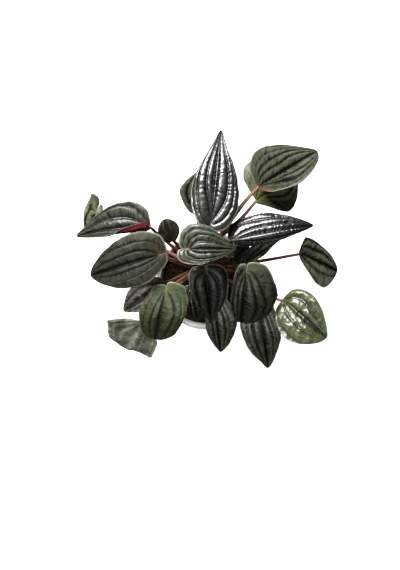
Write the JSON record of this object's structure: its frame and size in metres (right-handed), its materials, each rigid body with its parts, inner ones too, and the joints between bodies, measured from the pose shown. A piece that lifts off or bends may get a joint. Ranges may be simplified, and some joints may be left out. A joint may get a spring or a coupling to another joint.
{
  "type": "potted peperomia",
  "caption": "Small bushy house plant with narrow heart-shaped, deeply grooved leaves on red-brown stems, growing in a plain round white pot.",
  "frame": {"origin": "centre of the pot's flat foot, on the surface that the pot stands on", "axes": "+Z up along the pot's axis; +Y is up and +X to the right in the straight view from above"},
  "size_m": [0.1899, 0.1719, 0.1553],
  "materials": {
    "pot": "smooth white glaze",
    "soil": "matt dark brown potting soil",
    "stem": "smooth fleshy red-brown stem",
    "leaf": "fleshy dark grey-green leaf with a silvery gloss, grooved, red underneath"
  },
  "bodies": {
    "root": {"pot": "pot", "soil": "soil", "crown_and_petioles": "stem", "leaf_tall": "leaf", "leaf_behind_tall": "leaf", "leaf_right_top": "leaf", "leaf_right_under": "leaf", "leaf_right_glossy": "leaf", "leaf_right_small": "leaf", "leaf_far_right": "leaf", "leaf_lower_right": "leaf", "leaf_lower_dark": "leaf", "leaf_lower_centre": "leaf", "leaf_central": "leaf", "leaf_small_brown": "leaf", "leaf_left_big": "leaf", "leaf_upper_left": "leaf", "leaf_far_left": "leaf", "leaf_left_under": "leaf", "leaf_lower_left": "leaf", "leaf_bottom_left": "leaf", "leaf_under_centre": "leaf", "leaf_under_right": "leaf", "leaf_hidden_dark": "leaf", "leaf_young_curl": "leaf", "leaf_young_shade": "leaf"}
  },
  "joints": []
}
